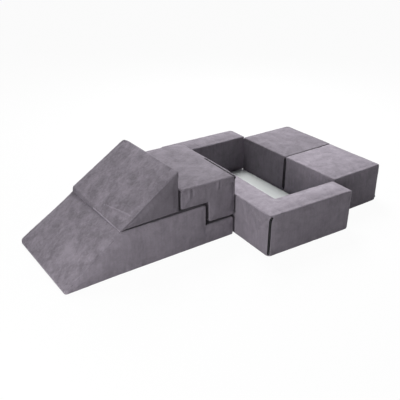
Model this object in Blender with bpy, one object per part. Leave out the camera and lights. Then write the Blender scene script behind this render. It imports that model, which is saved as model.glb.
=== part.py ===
# Modular foam play sofa for small children, laid out as a slide and play pit.
#
# Seven foam blocks in velour covers and a thin floor mat. A ramp carries a crest wedge and a step block, and two
# L-shaped bolsters and a pair of seat blocks wall a pit. Each block is a cut foam core in a crowned, round-edged
# cover that is open along its zip. The origin is on the floor under the middle of the pit. +X points away from the
# slide, +Y to the back and +Z up. All sizes are in metres, and all turns are in degrees.

import math
from collections import namedtuple

import bmesh
import bpy
from mathutils import Matrix, Vector

# Gaps and skins
FIT_GAP = 0.0003
COVER_THICKNESS = 0.002
EDGE_RADIUS = 0.012
ZIP_EDGE_RADIUS = 0.022
TOP_RADIUS = 0.012
BASE_RADIUS = 0.006
LEAST_RADIUS = 0.004
TOP_CROWN = 0.005
SIDE_CROWN = 0.004
PIT_SIDE_DRAW = 0.002

# How far in from its edges a crowned face goes on rising, as a share of the face's least width
CROWN_REACH = 0.4
WEDGE_CROWN_REACH = 0.25

# How finely the soft forms are drawn
ROUND_STEPS = 3
SIDE_STEPS = 3
CROWN_STEPS = 3

# Bolsters and seat blocks
BLOCK_HEIGHT = 0.300
BOLSTER_LENGTH = 0.710
BOLSTER_THICKNESS = 0.190
SEAT_DEPTH = 0.500
SEAT_WIDTH = 0.518
SEAT_GAP = 0.002

# Slide
RAMP_LENGTH = 1.290
SLIDE_WIDTH = 0.710
SLOPE_RUN = 0.400
NOTCH_RUN = 0.240
NOTCH_DEPTH = 0.150
TOE_RADIUS = 0.010
WEDGE_RUN = 0.430
WEDGE_RISE = 0.296
WEDGE_TIP_RADIUS = 0.004
CREST_RADIUS = 0.010
STEP_LENGTH = 0.455
STEP_THICKNESS = 0.150
LEG_RUN = 0.235

# Pit mat
MAT_THICKNESS = 0.012
MAT_CORNER_RADIUS = 0.025
MAT_EDGE_RADIUS = 0.004
MAT_CROWN = 0.002

# How the blocks stand on the floor, as set out by hand
RAMP_TURN_DEG = 2.5
STEP_TURN_DEG = 0.6
SEAT_TURN_DEG = 2.5
BACK_BOLSTER_TURN_DEG = 1.5
BACK_BOLSTER_SHIFT = -0.012
SLIDE_SETBACK = 0.372
STEP_OUTSTAND = 0.005
WEDGE_SETBACK = 0.006
WEDGE_GAP = 0.005
SEAT_STANDOFF = 0.005

# Zips
SLOT_WIDTH = 0.0110
TAPE_THICKNESS = 0.0012
TAPE_SINK = 0.0005
COIL_WIDTH = 0.0060
COIL_HEIGHT = 0.0016
SLIDER_LENGTH = 0.016
SLIDER_WALL = 0.0009
SLIDER_CREST = 0.0012
SLIDER_NOSE_DRAW = 0.0003
SLIDER_LUG_WIDTH = 0.0020
SLIDER_NOSE_CREST = 0.0010
COIL_SHOULDER_DROP = 0.0006
COIL_GROOVE_DEPTH = 0.0010
ZIP_MARGIN = 0.016
ZIP_END_GAP = 0.002
RAMP_ZIP_LENGTH = 0.600
RAMP_ZIP_HEIGHT = 0.070
WEDGE_ZIP_LENGTH = 0.220
WEDGE_ZIP_HEIGHT = 0.045
WEDGE_ZIP_SETBACK = 0.030
STEP_ZIP_TOP_RUN = 0.360

# Hinge tape between the seat blocks
HINGE_TAPE_THICKNESS = 0.002
FOLD_HEIGHT = BLOCK_HEIGHT + FIT_GAP

UP = Vector((0, 0, 1))


# Materials
Finish = namedtuple("Finish", "name colour roughness metallic")
VELOUR = Finish("grey_velour", (0.235, 0.215, 0.245, 1), 0.9, 0)
FOAM = Finish("cut_foam", (0.83, 0.79, 0.62, 1), 0.95, 0)
TAPE = Finish("black_tape", (0.012, 0.012, 0.014, 1), 0.85, 0)
COIL = Finish("black_coil", (0.015, 0.015, 0.017, 1), 0.45, 0)
SLIDER = Finish("black_slider", (0.03, 0.03, 0.033, 1), 0.4, 1)
MAT = Finish("pale_mat", (0.62, 0.65, 0.64, 1), 0.9, 0)


def material(finish, node):
    made = bpy.data.materials.new(f"{finish.name}_{node}")
    made.use_nodes = True
    principled = made.node_tree.nodes["Principled BSDF"]
    principled.inputs["Base Color"].default_value = finish.colour
    principled.inputs["Roughness"].default_value = finish.roughness
    principled.inputs["Metallic"].default_value = finish.metallic
    made.diffuse_color = finish.colour
    return made


# Closed solids from rings of points

def loft(rings, inward=False):
    """A closed skin through rings of equally many points, with a flat face over each end."""
    skin = bmesh.new()
    rows = [[skin.verts.new(point) for point in ring] for ring in rings]
    for row, following in zip(rows, rows[1:]):
        for i in range(len(row)):
            skin.faces.new((row[i - 1], row[i], following[i], following[i - 1]))
    skin.faces.new(rows[0])
    skin.faces.new(rows[-1])
    bmesh.ops.recalc_face_normals(skin, faces=skin.faces)
    if inward:
        bmesh.ops.reverse_faces(skin, faces=skin.faces)
    mesh = bpy.data.meshes.new("loft")
    skin.to_mesh(mesh)
    skin.free()
    return mesh


def joined(*meshes):
    skin = bmesh.new()
    for mesh in meshes:
        skin.from_mesh(mesh)
        bpy.data.meshes.remove(mesh)
    mesh = bpy.data.meshes.new("joined")
    skin.to_mesh(mesh)
    skin.free()
    return mesh


def node(name, mesh, finish, carrier):
    mesh.name = name
    piece = bpy.data.objects.new(name, mesh)
    bpy.context.collection.objects.link(piece)
    mesh.materials.append(material(finish, name))
    mesh.shade_smooth()
    mesh.set_sharp_from_angle(angle=math.radians(40))
    piece.parent = carrier
    return piece


def cut(mesh, cutter_mesh):
    """The mesh less the cutter's space."""
    piece = bpy.data.objects.new("piece", mesh)
    cutter = bpy.data.objects.new("cutter", cutter_mesh)
    for thing in (piece, cutter):
        bpy.context.collection.objects.link(thing)
    difference = piece.modifiers.new("slot", "BOOLEAN")
    difference.operation = "DIFFERENCE"
    difference.solver = "EXACT"
    difference.object = cutter
    evaluated = piece.evaluated_get(bpy.context.evaluated_depsgraph_get())
    result = bpy.data.meshes.new_from_object(evaluated)
    for thing in (piece, cutter):
        bpy.data.objects.remove(thing)
    for spent in (mesh, cutter_mesh):
        bpy.data.meshes.remove(spent)
    return result


def carrier(name, place, turn=0.0):
    """An empty that carries one block's nodes."""
    empty = bpy.data.objects.new(name, None)
    bpy.context.collection.objects.link(empty)
    empty.location = place
    empty.rotation_euler.z = math.radians(turn)
    return empty


# Outlines: anticlockwise lists of (corner, radius), drawn as rings of points

def side_normal(start, end):
    run = (end - start).normalized()
    return Vector((run.y, -run.x))


def corner_frames(outline, inset):
    """Each corner moved in by the inset: its point, radius, the two side normals and the mitre between them."""
    frames = []
    for i, (point, radius) in enumerate(outline):
        before = outline[i - 1][0]
        after = outline[(i + 1) % len(outline)][0]
        first = side_normal(before, point)
        second = side_normal(point, after)
        mitre = (first + second) / (1 + first.dot(second))
        hollow = first.x * second.y - first.y * second.x < 0
        shrunk = 0 if hollow else max(radius - inset, LEAST_RADIUS)
        frames.append((point - mitre * inset, shrunk, first, second, mitre))
    return frames


def corner_points(frame):
    """The points round one corner, or the corner itself where it is hollow."""
    point, radius, first, second, mitre = frame
    if not radius:
        return [point]
    centre = point - mitre * radius
    turn = first.angle(second)
    return [
        centre + radius * (Matrix.Rotation(turn * k / ROUND_STEPS, 2) @ first)
        for k in range(ROUND_STEPS + 1)
    ]


def bow(share):
    """How far a bulge has risen at this share of the way across: none at the ends, all in the middle."""
    return 1 - (2 * share - 1) ** 2


def outline_ring(outline, inset, bulges=None, lift=0.0):
    """One ring of an outline. With bulges, each side has points between its corners that stand out by them."""
    frames = corner_frames(outline, inset)
    corners = [corner_points(frame) for frame in frames]
    ring = []
    for i, points in enumerate(corners):
        ring += points
        if not bulges:
            continue
        start = points[-1]
        end = corners[(i + 1) % len(corners)][0]
        for k in range(1, SIDE_STEPS + 1):
            share = k / (SIDE_STEPS + 1)
            ring.append(start.lerp(end, share) + frames[i][3] * bulges[i] * lift * bow(share))
    return ring


# Soft blocks

# outline: the shape that is carried along the block. length: how far it is carried. low and high: its two ends,
# each a radius and a crown. reach: how far in from the edge a crown goes on rising. bulges: one for each side.
# across: carried along +Y with the outline in X and Z, and otherwise along +Z with the outline in X and Y.
Block = namedtuple("Block", "outline length low high reach bulges across")


def smooth_rise(share):
    return share * share * (3 - 2 * share)


def end_profile(end, reach, inset, crowned):
    """From the middle of an end face out to its edge: how far in each ring lies, and how far it stands out."""
    radius, crown = end
    profile = []
    if crowned:
        for k in range(CROWN_STEPS, 0, -1):
            share = k / CROWN_STEPS
            profile.append((radius + (reach - radius) * share, crown * smooth_rise(share)))
    tight = max(radius - inset, LEAST_RADIUS)
    for k in range(ROUND_STEPS + 1):
        angle = math.pi / 2 * k / ROUND_STEPS
        profile.append((inset + tight * (1 - math.sin(angle)), -inset - tight * (1 - math.cos(angle))))
    return profile


def block_rings(block, inset=0.0):
    """The rings of a block's outer skin, or of a plain solid that lies the inset inside it."""
    outer = inset == 0
    bulges = block.bulges if outer else None
    low = end_profile(block.low, block.reach, inset, outer)
    high = end_profile(block.high, block.reach, inset, outer)
    levels = [(-rise, depth, 0) for depth, rise in low]
    if outer:
        first = levels[-1][0]
        last = block.length + high[-1][1]
        for k in range(1, SIDE_STEPS + 1):
            share = k / (SIDE_STEPS + 1)
            levels.append((first + (last - first) * share, 0, bow(share)))
    levels += [(block.length + rise, depth, 0) for depth, rise in reversed(high)]
    rings = []
    for level, depth, lift in levels:
        ring = outline_ring(block.outline, depth, bulges, lift)
        if block.across:
            rings.append([Vector((point.x, level, point.y)) for point in ring])
        else:
            rings.append([Vector((point.x, point.y, level)) for point in ring])
    return rings


def outline(*corners):
    return [(Vector((x, y)), radius) for x, y, radius in corners]


def bolster_block(free_side=0):
    """L-shaped in plan, with the outer corner at its origin and its arms along +X and +Y.

    free_side: the number of the outer side that nothing stands against, which is the one that bulges.
    """
    long, thick = BOLSTER_LENGTH, BOLSTER_THICKNESS
    plan = outline(
        (0, 0, ZIP_EDGE_RADIUS),
        (long, 0, EDGE_RADIUS),
        (long, thick, EDGE_RADIUS),
        (thick, thick, 0),
        (thick, long, EDGE_RADIUS),
        (0, long, EDGE_RADIUS),
    )
    bulges = [0, 0, -PIT_SIDE_DRAW, -PIT_SIDE_DRAW, 0, 0]
    bulges[free_side] = SIDE_CROWN
    low, high = (BASE_RADIUS, 0), (TOP_RADIUS, TOP_CROWN)
    return Block(plan, BLOCK_HEIGHT, low, high, thick * CROWN_REACH, bulges, False)


def seat_block(side):
    """Square in plan, on the +Y (side 1) or the -Y (side -1) of the fold line at its origin."""
    near, far = SEAT_GAP / 2, SEAT_GAP / 2 + SEAT_WIDTH
    low_y, high_y = (near, far) if side > 0 else (-far, -near)
    low_edge, high_edge = (EDGE_RADIUS, ZIP_EDGE_RADIUS) if side > 0 else (ZIP_EDGE_RADIUS, EDGE_RADIUS)
    plan = outline(
        (0, low_y, EDGE_RADIUS),
        (SEAT_DEPTH, low_y, low_edge),
        (SEAT_DEPTH, high_y, high_edge),
        (0, high_y, EDGE_RADIUS),
    )
    low_bulge, high_bulge = (0, SIDE_CROWN) if side > 0 else (SIDE_CROWN, 0)
    bulges = (low_bulge, SIDE_CROWN, high_bulge, -PIT_SIDE_DRAW)
    low, high = (BASE_RADIUS, 0), (TOP_RADIUS, TOP_CROWN)
    return Block(plan, BLOCK_HEIGHT, low, high, SEAT_DEPTH * CROWN_REACH, bulges, False)


def ramp_block():
    """Its right end's foot is at its origin, and the slope falls towards -X."""
    shelf = BLOCK_HEIGHT - NOTCH_DEPTH
    profile = outline(
        (-RAMP_LENGTH, 0, TOE_RADIUS),
        (0, 0, TOP_RADIUS),
        (0, shelf, TOP_RADIUS),
        (-NOTCH_RUN, shelf, 0),
        (-NOTCH_RUN, BLOCK_HEIGHT, TOP_RADIUS),
        (SLOPE_RUN - RAMP_LENGTH, BLOCK_HEIGHT, TOP_RADIUS),
    )
    bulges = (0, 0, 0, 0, 0, TOP_CROWN)
    front, back = (EDGE_RADIUS, SIDE_CROWN), (EDGE_RADIUS, 0)
    return Block(profile, SLIDE_WIDTH, front, back, shelf * CROWN_REACH, bulges, True)


def wedge_block():
    """Its right face's foot is at its origin, and the slope falls towards -X."""
    profile = outline(
        (-WEDGE_RUN, 0, WEDGE_TIP_RADIUS),
        (0, 0, TOP_RADIUS),
        (0, WEDGE_RISE, CREST_RADIUS),
    )
    bulges = (0, 0, TOP_CROWN)
    front, back = (EDGE_RADIUS, SIDE_CROWN), (EDGE_RADIUS, 0)
    return Block(profile, SLIDE_WIDTH, front, back, WEDGE_RISE * WEDGE_CROWN_REACH, bulges, True)


def step_block():
    """A slab on the ramp's top with a leg down in its notch. Its origin is on the floor under its right end."""
    foot = BLOCK_HEIGHT - NOTCH_DEPTH + FIT_GAP
    under = BLOCK_HEIGHT + FIT_GAP
    top = BLOCK_HEIGHT + STEP_THICKNESS
    profile = outline(
        (-LEG_RUN, foot, TOP_RADIUS),
        (0, foot, TOP_RADIUS),
        (0, top, ZIP_EDGE_RADIUS),
        (-STEP_LENGTH, top, TOP_RADIUS),
        (-STEP_LENGTH, under, TOP_RADIUS),
        (-LEG_RUN, under, 0),
    )
    bulges = (0, 0, TOP_CROWN, 0, 0, 0)
    front, back = (ZIP_EDGE_RADIUS, SIDE_CROWN), (EDGE_RADIUS, 0)
    return Block(profile, SLIDE_WIDTH, front, back, STEP_THICKNESS * CROWN_REACH, bulges, True)


# Zips: frames along the opening, each a point on the cover, the way out of it and the way along

Frame = namedtuple("Frame", "point out along")

# The middle facet of a round edge lies this share of the radius from the edge's centre
FACET_SHARE = math.cos(math.pi / (4 * ROUND_STEPS))


def sweep(frames, profile):
    """Rings of a profile of (across, out) points, one at each frame."""
    rings = []
    for frame in frames:
        across = frame.out.cross(frame.along)
        rings.append([frame.point + across * a + frame.out * b for a, b in profile])
    return rings


def straight_zip(start, end, out):
    along = (end - start).normalized()
    return [Frame(start, out, along), Frame(end, out, along)]


def edge_zip(corner, centre_way, low, high):
    """Up the middle facet of an upright edge. centre_way: signs of the way from the corner to the edge's centre."""
    way = Vector((centre_way[0], centre_way[1], 0))
    out = -way.normalized()
    centre = Vector((corner[0], corner[1], 0)) + way * ZIP_EDGE_RADIUS
    facet = centre + out * ZIP_EDGE_RADIUS * FACET_SHARE
    return straight_zip(facet + UP * low, facet + UP * high, out)


def step_zip():
    """Up the front edge of the step block's right end, round the corner and back along its top edge.

    In the corner the run rises from the facets' middle to the corner points, which stand out further.
    """
    right = Vector((1, 0, 0))
    front = Vector((0, -1, 0))
    top = BLOCK_HEIGHT + STEP_THICKNESS
    centre = Vector((-ZIP_EDGE_RADIUS, ZIP_EDGE_RADIUS, top - ZIP_EDGE_RADIUS))
    foot = BLOCK_HEIGHT - NOTCH_DEPTH + ZIP_MARGIN
    turns = 2 * ROUND_STEPS
    frames = []
    for k in range(turns + 1):
        angle = math.pi / 2 * k / turns
        facing = front * math.cos(angle) + UP * math.sin(angle)
        along = UP * math.cos(angle) - front * math.sin(angle)
        out = (right + facing).normalized()
        share = FACET_SHARE + (1 - FACET_SHARE) * math.sin(2 * angle)
        frames.append(Frame(centre + out * ZIP_EDGE_RADIUS * share, out, along))
    first, last = frames[0], frames[-1]
    start = first.point.copy()
    start.z = foot
    end = last.point.copy()
    end.y = STEP_ZIP_TOP_RUN
    return [Frame(start, first.out, first.along), *frames, Frame(end, last.out, last.along)]


def slot_profile():
    half = SLOT_WIDTH / 2
    deep, high = -2 * COVER_THICKNESS, COVER_THICKNESS
    return [(-half, deep), (half, deep), (half, high), (-half, high)]


def tape_profile():
    half = SLOT_WIDTH / 2 - FIT_GAP
    top = -TAPE_SINK
    bottom = top - TAPE_THICKNESS
    return [(-half, bottom), (half, bottom), (half, top), (-half, top)]


def coil_profile():
    """Two rounded ridges with the meeting line of the coils between them."""
    half = COIL_WIDTH / 2
    base = FIT_GAP - TAPE_SINK
    top = base + COIL_HEIGHT
    shoulder = top - COIL_SHOULDER_DROP
    groove = top - COIL_GROOVE_DEPTH
    right = [(half, base), (half, shoulder), (half * 0.6, top), (half * 0.25, top)]
    left = [(-a, b) for a, b in reversed(right)]
    return right + [(0, groove)] + left


def slider_rings():
    """A saddle over the coil: walls beside it, a plate over it and a low lug along its top, with a drawn-in nose."""
    inner = COIL_WIDTH / 2 + FIT_GAP
    outer = inner + SLIDER_WALL
    foot = FIT_GAP - TAPE_SINK
    roof = foot + COIL_HEIGHT + FIT_GAP
    top = roof + SLIDER_WALL
    lug = SLIDER_LUG_WIDTH / 2
    rings = []
    for share, draw, rise in ((0, 0, 0), (0.2, 0, 0), (0.3, 0, 1), (0.65, 0, 1), (0.8, 0, 0), (1, 1, 0)):
        wide = outer - SLIDER_NOSE_DRAW * draw
        crest = top + SLIDER_CREST * rise
        half = [(lug, crest), (lug, top), (wide, top), (wide, foot), (inner, foot), (inner, roof)]
        if not rise:
            half[0] = (SLIDER_NOSE_CREST / 2, top)
        place = (share - 0.5) * SLIDER_LENGTH
        right = [Vector((place, a, b)) for a, b in half]
        left = [Vector((place, -a, b)) for a, b in reversed(half)]
        rings.append(right + left)
    return rings


def add_slider(name, frames, carrier_empty):
    """The slider at the zip's first end, with its origin on the way it travels."""
    start = frames[0]
    across = start.out.cross(start.along)
    piece = node(name, loft(slider_rings()), SLIDER, carrier_empty)
    place = start.point + start.along * (SLIDER_LENGTH / 2 + ZIP_END_GAP)
    axes = Matrix((start.along, across, start.out)).transposed()
    piece.matrix_local = Matrix.Translation(place) @ axes.to_4x4()
    return piece


def trimmed(frames, margin):
    """The same run, shorter by the margin at each end."""
    first, last = frames[0], frames[-1]
    start = Frame(first.point + first.along * margin, first.out, first.along)
    end = Frame(last.point - last.along * margin, last.out, last.along)
    return [start, *frames[1:-1], end]


def dress_block(name, block, frames, empty):
    """One block's five nodes: its cover, its foam core, and its zip's tape, coil and slider."""
    cover = joined(loft(block_rings(block)), loft(block_rings(block, COVER_THICKNESS), inward=True))
    cover = cut(cover, loft(sweep(frames, slot_profile())))
    node(f"{name}_cover", cover, VELOUR, empty)
    node(f"{name}_foam", loft(block_rings(block, COVER_THICKNESS + FIT_GAP)), FOAM, empty)
    run = trimmed(frames, FIT_GAP)
    node(f"{name}_zip_tape", loft(sweep(run, tape_profile())), TAPE, empty)
    node(f"{name}_zip_coil", loft(sweep(run, coil_profile())), COIL, empty)
    add_slider(f"{name}_zip_slider", frames, empty)


# Where the blocks stand: plan positions from the front bolster's outer corner

def turned(point, turn):
    return Matrix.Rotation(math.radians(turn), 2) @ Vector(point)


def reach_towards(arcs, turn, way):
    """How far a turned plan with these corner arcs reaches past its origin that way."""
    return max(turned(centre, turn).dot(Vector(way)) + radius for centre, radius in arcs)


def bolster_arcs():
    frames = corner_frames(bolster_block().outline, 0)
    return [(point - mitre * radius, radius) for point, radius, _, _, mitre in frames if radius]


def slide_end_arcs(front_radius):
    back_arc = ((-EDGE_RADIUS, SLIDE_WIDTH - EDGE_RADIUS), EDGE_RADIUS)
    return [((-front_radius, front_radius), front_radius), back_arc]


def seat_left_arcs():
    far = SEAT_GAP / 2 + SEAT_WIDTH - EDGE_RADIUS
    return [((EDGE_RADIUS, far), EDGE_RADIUS)]


def back_bolster_place():
    turn = BACK_BOLSTER_TURN_DEG - 90
    down = reach_towards(bolster_arcs(), turn, (0, -1))
    return Vector((BACK_BOLSTER_SHIFT, BOLSTER_LENGTH + FIT_GAP + down)), turn


def beside_front_bolster(turn, setback, front_radius):
    """A slide piece whose right end stands against the front bolster."""
    return Vector((-FIT_GAP - reach_towards(slide_end_arcs(front_radius), turn, (1, 0)), setback))


def ramp_place():
    return beside_front_bolster(RAMP_TURN_DEG, SLIDE_SETBACK, EDGE_RADIUS)


def seat_place():
    return Vector((BOLSTER_LENGTH + SEAT_STANDOFF, BOLSTER_LENGTH + SEAT_STANDOFF))


def mat_bounds():
    """The pit's floor: between the bolsters' inner faces and the rear seat block."""
    back_place, back_turn = back_bolster_place()
    thick, long = BOLSTER_THICKNESS, BOLSTER_LENGTH
    inner_corner = back_place + turned((thick, thick), back_turn)
    arm_end = back_place + turned((long, thick), back_turn)
    left = max(thick, inner_corner.x, arm_end.x) + FIT_GAP
    right = seat_place().x - reach_towards(seat_left_arcs(), SEAT_TURN_DEG, (-1, 0)) - FIT_GAP
    return left, right, thick + FIT_GAP, inner_corner.y - FIT_GAP


def place_in_room(plan, turn=0.0, height=0.0):
    """A plan position and turn as the room sees them, from the pit's middle."""
    left, right, front, back = mat_bounds()
    middle = Vector(((left + right) / 2, (front + back) / 2))
    x, y = plan - middle
    return Vector((x, y, height)), turn


def add_ramp():
    empty = carrier("ramp", *place_in_room(ramp_place(), RAMP_TURN_DEG))
    middle = (SLOPE_RUN - RAMP_LENGTH - NOTCH_RUN) / 2
    start = Vector((middle - RAMP_ZIP_LENGTH / 2, SLIDE_WIDTH, RAMP_ZIP_HEIGHT))
    end = start + Vector((RAMP_ZIP_LENGTH, 0, 0))
    dress_block("ramp", ramp_block(), straight_zip(start, end, Vector((0, 1, 0))), empty)


def add_wedge():
    plan = ramp_place() + turned((-STEP_LENGTH - WEDGE_GAP, WEDGE_SETBACK), RAMP_TURN_DEG)
    empty = carrier("crest_wedge", *place_in_room(plan, RAMP_TURN_DEG, BLOCK_HEIGHT + FIT_GAP))
    end = Vector((-WEDGE_ZIP_SETBACK, SLIDE_WIDTH, WEDGE_ZIP_HEIGHT))
    start = end - Vector((WEDGE_ZIP_LENGTH, 0, 0))
    dress_block("crest_wedge", wedge_block(), straight_zip(start, end, Vector((0, 1, 0))), empty)


def add_step():
    plan = beside_front_bolster(STEP_TURN_DEG, SLIDE_SETBACK - STEP_OUTSTAND, ZIP_EDGE_RADIUS)
    empty = carrier("step_block", *place_in_room(plan, STEP_TURN_DEG))
    dress_block("step_block", step_block(), step_zip(), empty)


def add_bolster(name, plan, turn, free_side):
    empty = carrier(name, *place_in_room(plan, turn))
    frames = edge_zip((0, 0), (1, 1), ZIP_MARGIN, BLOCK_HEIGHT - ZIP_MARGIN)
    dress_block(name, bolster_block(free_side), frames, empty)


def add_seat(name, side):
    """The carrier of each seat block hangs from the fold line, which runs just over the two top edges."""
    fold = carrier(f"{name}_fold", *place_in_room(seat_place(), SEAT_TURN_DEG, FOLD_HEIGHT))
    empty = carrier(name, Vector((0, 0, -FOLD_HEIGHT)))
    empty.parent = fold
    corner = (SEAT_DEPTH, side * (SEAT_GAP / 2 + SEAT_WIDTH))
    frames = edge_zip(corner, (-1, -side), ZIP_MARGIN, BLOCK_HEIGHT - ZIP_MARGIN)
    dress_block(name, seat_block(side), frames, empty)
    add_hinge_leaf(f"{name}_hinge_tape", side, empty)


def add_hinge_leaf(name, side, empty):
    """Half of the tape that is sewn along the two top edges, from the fold line out to the cover's round edge."""
    inner = FIT_GAP / 2
    facet_in = TOP_RADIUS * (1 - math.sin(math.pi / 2 / ROUND_STEPS))
    facet_down = TOP_RADIUS * (1 - math.cos(math.pi / 2 / ROUND_STEPS))
    outer = SEAT_GAP / 2 + facet_in + facet_down - HINGE_TAPE_THICKNESS - 2 * FIT_GAP
    bottom = BLOCK_HEIGHT - HINGE_TAPE_THICKNESS
    profile = [(inner, bottom), (outer, bottom), (outer, BLOCK_HEIGHT), (inner, BLOCK_HEIGHT)]
    ends = (EDGE_RADIUS, SEAT_DEPTH - EDGE_RADIUS)
    rings = [[Vector((x, side * y, z)) for y, z in profile] for x in ends]
    node(name, loft(rings), TAPE, empty)


def add_mat():
    left, right, front, back = mat_bounds()
    wide, deep = (right - left) / 2, (back - front) / 2
    round_corner = MAT_CORNER_RADIUS
    plan = outline(
        (-wide, -deep, round_corner),
        (wide, -deep, round_corner),
        (wide, deep, round_corner),
        (-wide, deep, round_corner),
    )
    low, high = (MAT_EDGE_RADIUS, 0), (MAT_EDGE_RADIUS, MAT_CROWN)
    mat = Block(plan, MAT_THICKNESS, low, high, 2 * round_corner, (0, 0, 0, 0), False)
    node("pit_mat", loft(block_rings(mat)), MAT, carrier("mat", Vector((0, 0, 0))))


def main():
    for thing in list(bpy.data.objects):
        bpy.data.objects.remove(thing)
    add_ramp()
    add_wedge()
    add_step()
    add_bolster("front_bolster", Vector((0, 0)), 0.0, 0)
    add_bolster("back_bolster", *back_bolster_place(), 5)
    add_seat("rear_seat", 1)
    add_seat("front_seat", -1)
    add_mat()
    bpy.context.view_layer.update()


main()
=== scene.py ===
import math
from collections import namedtuple

import bmesh
import bpy
import numpy as np
from mathutils import Matrix, Vector, noise
from mathutils.bvhtree import BVHTree


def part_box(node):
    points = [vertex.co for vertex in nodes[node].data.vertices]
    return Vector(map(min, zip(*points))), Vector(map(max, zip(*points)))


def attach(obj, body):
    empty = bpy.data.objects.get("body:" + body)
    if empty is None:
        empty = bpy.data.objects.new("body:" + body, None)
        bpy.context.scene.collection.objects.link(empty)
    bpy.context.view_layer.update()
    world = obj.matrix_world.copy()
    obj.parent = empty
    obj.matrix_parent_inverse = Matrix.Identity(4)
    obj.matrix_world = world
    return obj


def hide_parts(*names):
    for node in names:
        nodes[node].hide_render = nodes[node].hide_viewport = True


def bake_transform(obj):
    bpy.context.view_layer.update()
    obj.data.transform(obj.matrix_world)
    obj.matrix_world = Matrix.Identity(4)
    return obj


# A play sofa of foam blocks in grey velour: slide, step, two L-shaped bolsters, two hinged seats and a mat.
# All sizes are in metres. Each block is made in its own axes, from the same outline as its foam.

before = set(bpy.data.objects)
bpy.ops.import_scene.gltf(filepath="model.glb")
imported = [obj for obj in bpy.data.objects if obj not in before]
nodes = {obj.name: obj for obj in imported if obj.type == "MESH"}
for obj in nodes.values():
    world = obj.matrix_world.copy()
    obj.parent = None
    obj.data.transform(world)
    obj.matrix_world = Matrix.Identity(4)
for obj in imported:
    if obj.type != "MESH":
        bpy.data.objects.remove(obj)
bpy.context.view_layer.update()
scene = bpy.context.scene
print("frame loaded:", len(nodes), "nodes")


# Camera, light and floor

view = {
    "place": (-2.5749, -3.2415, 2.0767),
    "heading": 57.6224,  # degrees from +X towards +Y
    "dip": 26.8067,
    "focalPixels": 590.0,
    "framePixels": 400,
    "sensor": 36.0,
}


def addCamera():
    data = bpy.data.cameras.new("photoCamera")
    data.sensor_width = view["sensor"]
    data.lens = view["sensor"] * view["focalPixels"] / view["framePixels"]
    data.clip_end = 200
    camera = bpy.data.objects.new("photoCamera", data)
    scene.collection.objects.link(camera)
    camera.location = view["place"]
    camera.rotation_euler = (math.radians(90 - view["dip"]), 0, math.radians(view["heading"] - 90))
    scene.camera = camera


class Wire:
    # one output socket; sums and products of wires and numbers add their Math nodes
    def __init__(self, paint, socket):
        self.paint = paint
        self.socket = socket

    def maths(self, operation, first, second):
        return self.paint.node("ShaderNodeMath", {"operation": operation}, {0: first, 1: second})

    def __add__(self, other):
        return self.maths("ADD", self, other)

    def __sub__(self, other):
        return self.maths("SUBTRACT", self, other)

    def __rsub__(self, other):
        return self.maths("SUBTRACT", other, self)

    def __mul__(self, other):
        return self.maths("MULTIPLY", self, other)

    __radd__ = __add__
    __rmul__ = __mul__


class Paint:
    # a material's or the world's nodes, made one at a time
    def __init__(self, owner):
        owner.use_nodes = True
        self.owner = owner
        self.tree = owner.node_tree

    def node(self, kind, settings=None, sockets=None, out=0):
        made = self.tree.nodes.new(kind)
        for key, value in (settings or {}).items():
            if key == "stops":
                self.setStops(made.color_ramp.elements, value)
            else:
                setattr(made, key, value)
        for key, value in (sockets or {}).items():
            self.feed(made.inputs[key], value)
        return Wire(self, made.outputs[out])

    def feed(self, socket, value):
        if isinstance(value, Wire):
            self.tree.links.new(value.socket, socket)
        else:
            socket.default_value = value

    def setStops(self, elements, stops):
        while len(elements) < len(stops):
            elements.new(1)
        for element, (place, shade) in zip(elements, stops):
            element.position = place
            element.color = (shade, shade, shade, 1)

    def noise(self, where, scale, detail=2.0, rough=0.5, bent=0.0):
        return self.node("ShaderNodeTexNoise", {}, {
            "Vector": where, "Scale": scale, "Detail": detail, "Roughness": rough, "Distortion": bent,
        })

    def where(self, stretch=(1, 1, 1), turn=(0, 0, 0), shift=(0, 0, 0)):
        spot = self.node("ShaderNodeTexCoord", out="Object")
        sockets = {"Vector": spot, "Location": shift, "Rotation": turn, "Scale": stretch}
        return self.node("ShaderNodeMapping", {}, sockets)

    def blend(self, share, first, second):
        return self.node("ShaderNodeMix", {"data_type": "RGBA"}, {0: share, 6: first, 7: second}, out=2)

    def bump(self, height, strength, distance, under=None):
        sockets = {"Height": height, "Strength": strength, "Distance": distance}
        if under:
            sockets["Normal"] = under
        return self.node("ShaderNodeBump", {}, sockets)


def newPaint(name):
    paint = Paint(bpy.data.materials.new(name))
    paint.surface = paint.tree.nodes["Principled BSDF"]
    return paint


def setSurface(paint, **sockets):
    names = {
        "base": "Base Color", "rough": "Roughness", "metal": "Metallic", "normal": "Normal",
        "sheen": "Sheen Weight", "sheenRough": "Sheen Roughness", "sheenTint": "Sheen Tint",
        "shine": "Specular IOR Level",
    }
    for key, value in sockets.items():
        paint.feed(paint.surface.inputs[names[key]], value)
    return paint.owner


studio = {
    "fill": 0.05,
    "fillColour": (0.97, 0.975, 1.0, 1),
    "floorShade": (0.4, 0.4, 0.41, 1),
    "floorSeen": 0.96,  # how much of the floor that the camera sees is plain white
    "floorLit": (0.9, 0.9, 0.9, 1),  # the rest of it, which shows the shadows
    "floorSize": 60,
    "floorLevel": -0.0005,
    "aim": (-0.3, 0.0, 0.2),
    "lamps": {
        "aboveBack": {"place": (0.4, 1.6, 3.4), "size": 1.2, "watts": 92},
        "backRight": {"place": (1.6, 2.4, 2.6), "size": 1.4, "watts": 120},
        "leftSide": {"place": (-3.6, -1.5, 0.9), "size": 1.3, "watts": 60},
        "frontLeft": {"place": (-2.6, -3.4, 0.9), "size": 1.4, "watts": 22},
        "frontRight": {"place": (2.6, -3.0, 1.8), "size": 1.6, "watts": 15},
    },
}


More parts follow.
